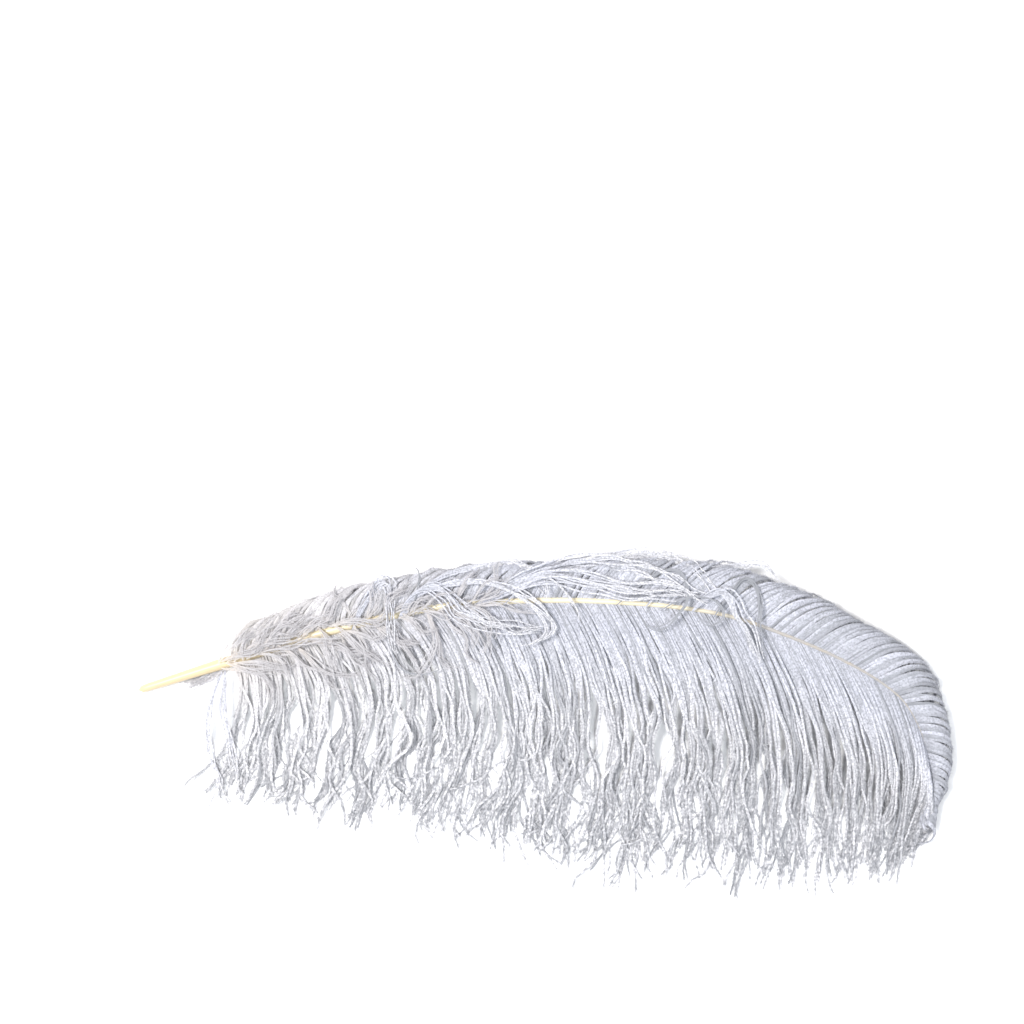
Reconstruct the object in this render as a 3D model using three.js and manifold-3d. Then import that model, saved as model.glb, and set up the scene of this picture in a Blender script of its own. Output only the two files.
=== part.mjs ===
// An ostrich wing plume, shed and laid face up on a flat surface.
// Millimetres. +X runs from the quill to the nodding tip, +Y across the feather to its
// rolled edge, +Z up. The surface is at z = 0, under the middle of the feather.

import * as THREE from 'three';
import { mergeVertices } from 'three/addons/utils/BufferGeometryUtils.js';
import Module from 'manifold-3d';

// Shaft: its centre line, from the blunt end of the bare quill to the thread-thin tip
const SHAFT_LINE = [
  [-246, 18, 3.6],
  [-189, 36, 5],
  [-135.5, 52.8, 10],
  [-67.5, 69, 19],
  [-27.5, 73.2, 24],
  [11.5, 74.4, 28],
  [47.5, 73.2, 31],
  [77, 70.8, 32],
  [110.5, 65, 32],
  [149, 51.6, 30],
  [179.5, 37.8, 27],
  [203, 24, 24],
  [215.5, 13.2, 22],
  [224.5, -1.2, 19],
  [229.5, -14.4, 17],
  [232.5, -34.8, 13],
  [229.5, -59.4, 9],
];
// Shaft diameter at equal steps along it: blunt end, stout quill, then an even taper
const SHAFT_DIAMETERS = [4.4, 7, 6, 4.8, 4, 3.4, 2.9, 2.4, 2, 1.5, 1];
const SHAFT_SIDES = 6;
const SHAFT_STEPS = 36;
const QUILL_LENGTH = 60;

// Ends of the hanging locks, at equal steps of the vaned length of the shaft
const HANGING_ENDS = [
  [-205, -44],
  [-139, -60],
  [-81, -65],
  [-27, -81],
  [24, -90],
  [77, -101],
  [133, -99],
  [181, -98],
  [211, -94],
  [225, -82],
  [235, -69],
];
// Outermost points of the rolled locks, at the same steps
const ROLLED_EDGE = [
  [-183, 56],
  [-131, 76],
  [-79, 88],
  [-25, 94],
  [29, 97],
  [83, 97],
  [133, 86],
  [180, 65],
  [216, 42],
  [241, -4],
  [240, -50],
];

// Locks: flat pointed blades, as wide as the root of a tuft of barbs
const LOCK_THICKNESS = 2.4;
const LOCK_SIDES = 4;
// Widths and thicknesses from a lock's root to its point, as shares of the full size
const LOCK_TAPER = [0.8, 1, 1, 0.97, 0.9, 0.76, 0.5, 0.08];
const LOCK_THINNING = [1, 1, 0.9, 0.75, 0.6];
const HANGING_COUNT = 28;
const HANGING_WIDTH = 19;
const HANGING_STEPS = 7;
const HANGING_HUMP = 5;
// Shares of its length at which a hanging lock leaves its hump and comes down flat
const HANGING_SETTLING = [0.02, 0.72];
// How far a hanging lock leans forward before it droops, at the base and at the tip,
// as a share of its length
const HANGING_LEANS = [0.2, 0.3];
// How far it has drooped by then, and how far above its end it hangs straight
const HANGING_DROOP = 0.38;
const HANGING_STRAIGHT = 0.3;
const HANGING_HOOK = 5;
// Ragged ends: how much the locks' reach and sideways place change from one to the next,
// each in a rhythm of its own
const HANGING_RAGGED = 0.06;
const HANGING_RAGGED_RHYTHM = 2.4;
const HANGING_SWAY = 4;
const HANGING_SWAY_RHYTHM = 1.7;
const ROLLED_COUNT = 20;
const ROLLED_WIDTH = 24;
const ROLLED_STEPS = 7;
const ROLLED_HUMP = 5;
const ROLLED_RAGGED = 0.05;
const ROLLED_RAGGED_RHYTHM = 2.9;
// How far a rolled lock runs back under the feather, how far forward it leans there, and
// how much that changes from one lock to the next
const ROLLED_UNDER = 30;
const ROLLED_UNDER_LEAN = 0.35;
const ROLLED_UNDER_RAGGED = 0.25;
const ROLLED_UNDER_RHYTHM = 2.1;
// Way of a rolled lock: how far ahead and how far aside, as shares of its reach, and how
// high, as a share of the shaft's height. It bends forward along the edge, then rolls under.
const ROLLED_STATIONS = [
  [0, 0, 1],
  [0.16, 0.36, 1],
  [0.45, 0.74, 1],
  [0.85, 0.97, 0.9],
  [1.25, 1, 0.5],
  [1.5, 0.86, 0.12],
];
// Stray locks that leave the shaft, lie over the rolled vane and curl back across the shaft
const STRAY_LOCKS = [
  [[-44, 72, 24], [-24, 84, 29], [0, 92, 32], [33, 98, 33], [60, 100, 34], [78, 96, 36],
    [90, 88, 39], [98, 79, 39]],
  [[-87, 65, 17], [-77, 79, 21], [-62, 87, 24], [-32, 88, 29], [-14, 82, 33], [-4, 74, 34],
    [3, 66, 33], [4, 59, 32]],
  [[85, 70, 33], [95, 80, 40], [104, 83, 43], [110, 76, 43], [114, 67, 42], [120, 58, 40],
    [124, 48, 36], [126, 40, 32]],
];
const STRAY_WIDTH = 12;
const STRAY_STEPS = 7;
// How narrow the locks become at the tip of the feather, as a share of their width, and
// the power by which they keep their width until near it
const TIP_WIDTH = 0.55;
const TIP_POWER = 3;
// How far the lying ends of the locks sink before they are cut flat at the surface
const SINK = 0.15;

// Downy tuft that points back under the quill, a little past the start of the vane
const TUFT_END = [-216, 21, 1];
const TUFT_PLACE = 1.08;
const TUFT_HEIGHT = 3.2;
const TUFT_WIDTH = 9;
const TUFT_TAPER = [0.5, 1, 0.8, 0.1];
const TUFT_STEPS = 4;

// Block of ground that is cut away under the surface
const GROUND = [800, 600, 40];

// Middle of the plan of everything above, which becomes the part's origin
const PLAN_MIDDLE = [1.6, -2.3];

const PLUME_COLOUR = 0xe4e6ee;

const wasm = await Module();
wasm.setup();

const UP = new THREE.Vector3(0, 0, 1);

function listOfPoints(rows) {
  return rows.map((row) => new THREE.Vector3(row[0], row[1], row[2] ?? 0));
}

const shaft = new THREE.CatmullRomCurve3(listOfPoints(SHAFT_LINE), false, 'centripetal');
const hangingEnds = new THREE.CatmullRomCurve3(listOfPoints(HANGING_ENDS));
const rolledEdge = new THREE.CatmullRomCurve3(listOfPoints(ROLLED_EDGE));
const vaneStart = QUILL_LENGTH / shaft.getLength();

function between(values, t) {
  const place = Math.min(Math.max(t, 0), 1) * (values.length - 1);
  const index = Math.min(Math.floor(place), values.length - 2);
  return THREE.MathUtils.lerp(values[index], values[index + 1], place - index);
}

// A closed bar bent along a curve. Its section is spread out along side and thin across it.
function bentBar(curve, sides, steps, widthAt, thicknessAt, sideAt) {
  const bar = new THREE.CylinderGeometry(1, 1, 1, sides, steps);
  const corners = bar.attributes.position;
  const corner = new THREE.Vector3();
  for (let i = 0; i < corners.count; i++) {
    corner.fromBufferAttribute(corners, i);
    const t = corner.y + 0.5;
    const tangent = curve.getTangent(t);
    const side = sideAt(tangent);
    const across = new THREE.Vector3().crossVectors(side, tangent).normalize();
    const place = curve.getPoint(t);
    place.addScaledVector(side, (corner.x * widthAt(t)) / 2);
    place.addScaledVector(across, (corner.z * thicknessAt(t)) / 2);
    corners.setXYZ(i, place.x, place.y, place.z);
  }
  return bar;
}

function solidOf(geometry) {
  const bare = geometry.clone();
  bare.deleteAttribute('normal');
  bare.deleteAttribute('uv');
  const merged = mergeVertices(bare, 1e-4);
  return new wasm.Manifold(
    new wasm.Mesh({
      numProp: 3,
      vertProperties: new Float32Array(merged.attributes.position.array),
      triVerts: new Uint32Array(merged.index.array),
    }),
  );
}

function levelSide(tangent) {
  return new THREE.Vector3().crossVectors(tangent, UP).normalize();
}

function shaftSolid() {
  const straightened = {
    getPoint: (t) => shaft.getPointAt(t),
    getTangent: (t) => shaft.getTangentAt(t),
  };
  const diameterAt = (t) => between(SHAFT_DIAMETERS, t);
  return solidOf(
    bentBar(straightened, SHAFT_SIDES, SHAFT_STEPS, diameterAt, diameterAt, levelSide),
  );
}

const lockTaper = (t) => between(LOCK_TAPER, t);
const lockThinning = (t) => between(LOCK_THINNING, t);

// A lock of the hanging vane: it leans forward, droops straight down the page and
// comes to lie on the surface.
class HangingLock extends THREE.Curve {
  constructor(share, reach, sway) {
    super();
    const station = THREE.MathUtils.lerp(vaneStart, 1, share);
    this.root = shaft.getPointAt(station);
    const end = hangingEnds.getPoint(share);
    this.end = new THREE.Vector3(
      THREE.MathUtils.lerp(this.root.x, end.x, reach) + sway,
      THREE.MathUtils.lerp(this.root.y, end.y, reach),
      -SINK,
    );
    const forward = shaft.getTangentAt(station);
    const length = this.root.distanceTo(this.end);
    const lean = between(HANGING_LEANS, share);
    this.bend = this.root.clone().addScaledVector(forward, length * lean);
    this.bend.y -= length * HANGING_DROOP;
    this.hook = this.end.clone();
    this.hook.x += HANGING_HOOK;
    this.hook.y += length * HANGING_STRAIGHT;
  }

  getPoint(t, target = new THREE.Vector3()) {
    const plan = new THREE.CubicBezierCurve3(this.root, this.bend, this.hook, this.end);
    plan.getPoint(t, target);
    const settled = THREE.MathUtils.smoothstep(t, ...HANGING_SETTLING);
    const hump = HANGING_HUMP * Math.sin(Math.PI * Math.min(t * 2, 1));
    target.z = THREE.MathUtils.lerp(this.root.z + hump, -SINK, settled);
    return target;
  }
}

function hangingLock(index) {
  const share = index / (HANGING_COUNT - 1);
  const reach = 1 + HANGING_RAGGED * Math.sin(index * HANGING_RAGGED_RHYTHM);
  const sway = HANGING_SWAY * Math.sin(index * HANGING_SWAY_RHYTHM);
  const curve = new HangingLock(share, reach, sway);
  const width = HANGING_WIDTH * THREE.MathUtils.lerp(1, TIP_WIDTH, share ** TIP_POWER);
  return solidOf(
    bentBar(
      curve,
      LOCK_SIDES,
      HANGING_STEPS,
      (t) => width * lockTaper(t),
      (t) => LOCK_THICKNESS * lockThinning(t),
      levelSide,
    ),
  );
}

// A lock of the rolled vane: it rises off the shaft, rolls over at the edge and folds
// back under the feather.
function rolledLock(index) {
  const share = index / (ROLLED_COUNT - 1);
  const station = THREE.MathUtils.lerp(vaneStart, 1, share);
  const root = shaft.getPointAt(station);
  const forward = shaft.getTangentAt(station).setZ(0).normalize();
  const out = new THREE.Vector3().crossVectors(UP, forward);
  const edge = rolledEdge.getPoint(share).sub(root);
  const ragged = 1 + ROLLED_RAGGED * Math.sin(index * ROLLED_RAGGED_RHYTHM);
  const reach = edge.dot(out) * ragged;
  const narrowing = THREE.MathUtils.lerp(1, TIP_WIDTH, share ** TIP_POWER);
  const uneven = 1 + ROLLED_UNDER_RAGGED * Math.sin(index * ROLLED_UNDER_RHYTHM);
  const under = ROLLED_UNDER * uneven * narrowing;
  const points = ROLLED_STATIONS.map(([ahead, aside, height]) => {
    const rise = ROLLED_HUMP * Math.sin(Math.PI * Math.min(aside, 1));
    return root.clone()
      .addScaledVector(forward, reach * ahead)
      .addScaledVector(out, reach * aside)
      .setZ(root.z * height + rise);
  });
  const fold = points[points.length - 1].clone();
  fold.addScaledVector(forward, under * ROLLED_UNDER_LEAN);
  fold.addScaledVector(out, -under).setZ(-SINK);
  points.push(fold.clone().lerp(points[points.length - 1], 0.5).setZ(-SINK), fold);
  const width = ROLLED_WIDTH * narrowing;
  return solidOf(
    bentBar(
      new THREE.CatmullRomCurve3(points),
      LOCK_SIDES,
      ROLLED_STEPS,
      (t) => width * lockTaper(t),
      (t) => LOCK_THICKNESS * lockThinning(t),
      (tangent) => forward.clone().addScaledVector(tangent, -forward.dot(tangent)).normalize(),
    ),
  );
}

function tuftSolid() {
  const root = shaft.getPointAt(vaneStart * TUFT_PLACE);
  const [end] = listOfPoints([TUFT_END]);
  const middle = root.clone().lerp(end, 0.5).setZ(TUFT_HEIGHT);
  return solidOf(
    bentBar(
      new THREE.QuadraticBezierCurve3(root, middle, end),
      LOCK_SIDES,
      TUFT_STEPS,
      (t) => TUFT_WIDTH * between(TUFT_TAPER, t),
      (t) => LOCK_THICKNESS * lockThinning(t),
      levelSide,
    ),
  );
}

function strayLock(rows) {
  return solidOf(
    bentBar(
      new THREE.CatmullRomCurve3(listOfPoints(rows)),
      LOCK_SIDES,
      STRAY_STEPS,
      (t) => STRAY_WIDTH * lockTaper(t),
      (t) => LOCK_THICKNESS * lockThinning(t),
      levelSide,
    ),
  );
}

// Everything below the surface is cut away, which leaves the lying locks flat underneath.
function aboveSurface(solid) {
  const slab = new THREE.BoxGeometry(...GROUND);
  slab.translate(0, 0, -GROUND[2] / 2);
  return solid.subtract(solidOf(slab));
}

function geometryOf(solid) {
  const mesh = solid.getMesh();
  const geometry = new THREE.BufferGeometry();
  geometry.setAttribute('position', new THREE.BufferAttribute(mesh.vertProperties, 3));
  geometry.setIndex(new THREE.BufferAttribute(mesh.triVerts, 1));
  geometry.translate(-PLAN_MIDDLE[0], -PLAN_MIDDLE[1], 0);
  geometry.computeVertexNormals();
  return geometry;
}

function feather() {
  let solid = shaftSolid().add(tuftSolid());
  for (let i = 0; i < HANGING_COUNT; i++) solid = solid.add(hangingLock(i));
  for (let i = 0; i < ROLLED_COUNT; i++) solid = solid.add(rolledLock(i));
  for (const rows of STRAY_LOCKS) solid = solid.add(strayLock(rows));
  const material = new THREE.MeshStandardMaterial({
    color: PLUME_COLOUR,
    roughness: 0.85,
    metalness: 0,
  });
  const mesh = new THREE.Mesh(geometryOf(aboveSurface(solid)), material);
  mesh.name = 'feather';
  return mesh;
}

const group = new THREE.Group();
group.add(feather());

export default group;
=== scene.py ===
import math
import bpy
import numpy as np
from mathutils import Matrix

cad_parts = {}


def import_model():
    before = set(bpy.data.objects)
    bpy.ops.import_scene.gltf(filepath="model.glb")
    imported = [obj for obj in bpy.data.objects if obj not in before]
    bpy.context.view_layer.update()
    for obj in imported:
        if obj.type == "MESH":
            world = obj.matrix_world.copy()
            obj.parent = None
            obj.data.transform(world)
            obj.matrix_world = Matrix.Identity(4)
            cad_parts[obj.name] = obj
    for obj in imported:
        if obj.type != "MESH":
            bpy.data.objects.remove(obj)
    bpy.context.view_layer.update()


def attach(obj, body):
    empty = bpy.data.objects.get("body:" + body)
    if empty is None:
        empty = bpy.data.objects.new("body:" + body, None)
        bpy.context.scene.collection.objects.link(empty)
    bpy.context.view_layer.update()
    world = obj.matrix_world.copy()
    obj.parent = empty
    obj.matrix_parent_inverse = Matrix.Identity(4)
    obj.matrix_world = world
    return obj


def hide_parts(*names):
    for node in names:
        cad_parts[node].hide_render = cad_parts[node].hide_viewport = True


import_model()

# An ostrich wing plume lying face up. Lengths here are millimetres until a mesh is made.
MM = 0.001
UP = np.array([0.0, 0.0, 1.0])
FLAT = np.array([1, 1, 0])
FULL_TURN = 6.3
BARB_SEED = 22
HANGING_SEED = 5
ROLLED_SEED = 8
random = np.random.default_rng(BARB_SEED)

# The page: how the picture's pixels lie over the surface
PICTURE = 1024
MM_PER_PIXEL = 0.6
MIDDLE_PIXEL = (543, 723)

# Middle of the feather's plan, which goes to the origin
PLAN_MIDDLE = np.array([1.6, -2.3, 0.0])
# Shaft, from the blunt end of the bare quill to the thread-thin tip: points on its centre
# line, and diameters at equal steps
SHAFT_LINE = [
    (-246, 18, 3.6), (-189, 36, 5), (-135.5, 52.8, 10), (-67.5, 69, 19), (-27.5, 73.2, 24),
    (11.5, 74.4, 28), (47.5, 73.2, 31), (77, 70.8, 32), (110.5, 65, 32), (149, 51.6, 30),
    (179.5, 37.8, 27), (203, 24, 24), (215.5, 13.2, 22), (224.5, -1.2, 19),
    (229.5, -14.4, 17), (232.5, -34.8, 13), (229.5, -59.4, 9),
]
SHAFT_DIAMETERS = [4.4, 7, 6, 4.8, 4, 3.4, 2.9, 2.4, 2, 1.5, 1]
QUILL_LENGTH = 60

# Ends of the hanging barbs and the outer edge of the rolled ones, at equal steps
HANGING_ENDS = [
    (-205, -44), (-139, -60), (-81, -65), (-27, -81), (24, -90), (77, -101), (133, -99),
    (181, -98), (211, -94), (225, -82), (235, -69),
]
ROLLED_EDGE = [
    (-183, 56), (-131, 76), (-79, 88), (-25, 94), (29, 97), (83, 97), (133, 86), (180, 65),
    (216, 42), (241, -4), (240, -50),
]
# Way of a rolled barb: how far ahead and how far aside, as shares of its reach, and how
# high, as a share of the shaft's height
ROLLED_STATIONS = (
    (0, 0, 1), (0.16, 0.36, 1), (0.45, 0.74, 1), (0.85, 0.97, 0.9), (1.25, 1, 0.5),
    (1.5, 0.86, 0.12),
)
# How finely curves are drawn: the shaft, the outer edges, the way between two given points,
# a rolled barb, and the shares at which a hanging barb has its points
LINE_POINTS = 600
EDGE_POINTS = 200
SPLINE_STEPS = 40
ROLLED_POINTS = 30
PARAMETER = np.linspace(0, 1, 24)
# How high the barbs arch over the shaft, and the shares of a hanging barb between which
# it comes down to the surface
HUMP = 5
DROOP = (0.02, 0.72)
# How far a hanging barb leans forward, as shares of its length: everywhere, more towards
# the tip, and more near the base
LEAN = 0.2
LEAN_AT_TIP = 0.1
LEAN_AT_BASE = 0.12
# How far a hanging barb bends down the page, and where it heads at its end
BEND_DOWN = 0.38
HOOK_AHEAD = 5
HOOK_BACK = 0.3
# The part of a rolled barb that is folded under: how narrow it gets at the tip, and how
# far it runs ahead
TIP_WIDTH = 0.55
FOLD_AHEAD = 0.35
# How much of its height the rolled vane loses at its edge
EDGE_DROP = 0.6


def spline(rows, count, spread="even"):
    """A smooth curve through rows, at count points: evenly spaced, or in equal steps from
    row to row."""
    points = np.array([tuple(row) + (0,) * (3 - len(row)) for row in rows], float)
    first = 2 * points[0] - points[1]
    last = 2 * points[-1] - points[-2]
    p = np.vstack([first, points, last])
    knots = np.concatenate([[0], np.cumsum(np.linalg.norm(np.diff(p, axis=0), axis=1) ** 0.5)])
    pieces = []
    for i in range(1, len(p) - 2):
        t = np.linspace(knots[i], knots[i + 1], SPLINE_STEPS, endpoint=False)[:, None]
        t0, t1, t2, t3 = knots[i - 1:i + 3]
        a1 = (t1 - t) / (t1 - t0) * p[i - 1] + (t - t0) / (t1 - t0) * p[i]
        a2 = (t2 - t) / (t2 - t1) * p[i] + (t - t1) / (t2 - t1) * p[i + 1]
        a3 = (t3 - t) / (t3 - t2) * p[i + 1] + (t - t2) / (t3 - t2) * p[i + 2]
        b1 = (t2 - t) / (t2 - t0) * a1 + (t - t0) / (t2 - t0) * a2
        b2 = (t3 - t) / (t3 - t1) * a2 + (t - t1) / (t3 - t1) * a3
        pieces.append((t2 - t) / (t2 - t1) * b1 + (t - t1) / (t2 - t1) * b2)
    dense = np.vstack(pieces + [points[-1:]])
    if spread == "steps":
        place = np.linspace(0, len(dense) - 1, count)
        return rows_at(dense, place / (len(dense) - 1))
    return evenly(dense, count)


def rows_at(rows, t):
    """Rows read at shares t of the way through them."""
    rows = np.asarray(rows, float)
    place = np.clip(t, 0, 1) * (len(rows) - 1)
    steps = np.arange(len(rows))
    if rows.ndim == 1:
        return np.interp(place, steps, rows)
    return np.stack([np.interp(place, steps, column) for column in rows.T], axis=-1)


def evenly(points, count):
    """A line's points moved to equal steps of length."""
    lengths = np.concatenate([[0], np.cumsum(np.linalg.norm(np.diff(points, axis=0), axis=1))])
    place = np.linspace(0, lengths[-1], count)
    return np.stack([np.interp(place, lengths, column) for column in points.T], axis=-1)


def unit(vectors):
    """Vectors brought to length one."""
    return vectors / np.maximum(np.linalg.norm(vectors, axis=-1, keepdims=True), 1e-9)


def smooth(t, low, high):
    """An even step from 0 at low to 1 at high."""
    x = np.clip((t - low) / (high - low), 0, 1)
    return x * x * (3 - 2 * x)


shaft_points = spline(SHAFT_LINE, LINE_POINTS) - PLAN_MIDDLE
shaft_ways = unit(np.gradient(shaft_points, axis=0))
shaft_length = np.linalg.norm(np.diff(shaft_points, axis=0), axis=1).sum()
vane_start = QUILL_LENGTH / shaft_length
hanging_ends = spline(HANGING_ENDS, EDGE_POINTS, "steps") - PLAN_MIDDLE
rolled_edge = spline(ROLLED_EDGE, EDGE_POINTS, "steps") - PLAN_MIDDLE
# Where the shaft and the outer edge stop running forward and turn down the page
TURN = int(np.argmax(shaft_points[:, 0]))
EDGE_TURN = int(np.argmax(rolled_edge[:, 0]))


def station(share):
    """A share of the vane as a share of the whole shaft."""
    return vane_start + (1 - vane_start) * share


def shaft_radius(along):
    return rows_at(SHAFT_DIAMETERS, along) / 2


def hanging_path(share, reach, sway):
    """Points along a hanging barb, from the shaft to its end."""
    along = station(share)
    root, forward = rows_at(shaft_points, along), rows_at(shaft_ways, along)
    end = root + (rows_at(hanging_ends, share) - root) * reach
    end = np.array([end[0] + sway, end[1], 0])
    length = np.linalg.norm(end - root)
    near_base = smooth(share, 0.04, 0.15) * (1 - smooth(share, 0.2, 0.4))
    lean = LEAN + LEAN_AT_TIP * share + LEAN_AT_BASE * near_base
    bend = root + forward * length * lean - np.array([0, length * BEND_DOWN, 0])
    hook = end + np.array([HOOK_AHEAD, length * HOOK_BACK, 0])
    t = PARAMETER[:, None]
    path = ((1 - t) ** 3 * root + 3 * (1 - t) ** 2 * t * bend + 3 * (1 - t) * t**2 * hook
            + t**3 * end)
    hump = HUMP * np.sin(np.pi * np.minimum(PARAMETER / 0.5, 1))
    path[:, 2] = (root[2] + hump) * (1 - smooth(PARAMETER, *DROOP))
    return path


def rolled_path(share, reach, under):
    """Points along a rolled barb, over the edge and back underneath."""
    along = station(share)
    root = rows_at(shaft_points, along)
    forward = unit(rows_at(shaft_ways, along) * FLAT)
    out = np.cross(UP, forward)
    aside = (rows_at(rolled_edge, share) - root) @ out * reach
    under = under * (1 - (1 - TIP_WIDTH) * share**3)
    rows = []
    for ahead, wide, high in ROLLED_STATIONS:
        point = root + (forward * ahead + out * wide) * aside
        rows.append((point[0], point[1], root[2] * high + HUMP * math.sin(math.pi * wide)))
    last = np.array(rows[-1])
    fold = last + forward * under * FOLD_AHEAD - out * under
    rows.append(((last[0] + fold[0]) / 2, (last[1] + fold[1]) / 2, 0))
    rows.append((fold[0], fold[1], 0))
    return spline(rows, ROLLED_POINTS)


def across(path):
    """Ways, sides and upper directions along a path, carried along it without twisting."""
    ways = unit(np.gradient(path, axis=0))
    sides = np.empty_like(ways)
    side = np.cross(ways[0], UP)
    for i, way in enumerate(ways):
        side = side - way * (side @ way)
        side = side / max(math.sqrt(side @ side), 1e-9)
        sides[i] = side
    return ways, sides, np.cross(sides, ways)


def vane_height(path):
    """Height of the feather's upper face under each point of a path, a little smoothed."""
    ridge = np.interp(path[:, 0], shaft_points[:TURN, 0], shaft_points[:TURN, 1])
    level = np.interp(path[:, 0], shaft_points[:TURN, 0], shaft_points[:TURN, 2])
    low = np.interp(path[:, 0], hanging_ends[:, 0], hanging_ends[:, 1])
    high = np.interp(path[:, 0], rolled_edge[:EDGE_TURN, 0], rolled_edge[:EDGE_TURN, 1])
    down_share = (ridge - path[:, 1]) / (ridge - low)
    up_share = (path[:, 1] - ridge) / (high - ridge)
    hang = (level + HUMP) * (1 - smooth(down_share, *DROOP))
    roll = (level + HUMP) * (1 - EDGE_DROP * smooth(up_share, 0.6, 1.15))
    height = np.where(down_share > 0, hang, roll)
    padded = np.concatenate([np.full(3, height[0]), height, np.full(3, height[-1])])
    return np.convolve(padded, np.ones(7) / 7, "valid")


# How high a wave goes for its width
WAVE_RISE = 0.6


def waved(path, size, length, shift):
    """A path with a slow wave that grows over its first two thirds."""
    _, side, over = across(path)
    steps = np.linalg.norm(np.diff(path, axis=0), axis=1)
    run = np.concatenate([[0], np.cumsum(steps)])
    t = run / run[-1]
    swing = size * np.minimum(1.5 * t, 1) ** 1.3 * np.sin(2 * np.pi * run / length + shift)
    rise = size * WAVE_RISE * t * np.sin(2 * np.pi * run / (length * 0.8) + shift * 1.7)
    return path + side * swing[:, None] + over * rise[:, None]


def curled(path, turn, late):
    """A path that turns sideways through an angle, from a share of its way on."""
    steps = np.diff(path, axis=0)
    t = np.linspace(0, 1, len(steps))
    angle = turn * np.clip((t - late) / (1 - late), 0, 1) ** 1.5
    x = steps[:, 0] * np.cos(angle) - steps[:, 1] * np.sin(angle)
    y = steps[:, 0] * np.sin(angle) + steps[:, 1] * np.cos(angle)
    steps = np.stack([x, y, steps[:, 2]], axis=1)
    return np.vstack([path[:1], path[0] + np.cumsum(steps, axis=0)])


def above_surface(path, least):
    """A path lifted where it comes too near the surface."""
    path[:, 2] = np.maximum(path[:, 2], least)
    return path


# Barb meshes: a flat ridged stem with two rows of fine barbules, all joined in one mesh
STEM_SIDES = 4
STEM_TAPER = 0.6
# Least height of a corner, of the middle of a barb, and of that of a down or stray barb
LEAST_HEIGHT = 0.02
BARB_HEIGHT = 0.35
DOWN_HEIGHT = 0.4
# Barbules: their length at equal steps of the barb, how they crowd towards its end, how
# high their ridge is for their width, and how much their tone varies
BARBULE_LENGTHS = (0.7, 0.9, 1, 1.1, 1.2, 1.2, 0.8)
BARBULE_CROWDING = 0.72
BARBULE_RIDGE = 0.35
BARBULE_CORNERS = 4
MOTTLE = 0.3


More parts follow.
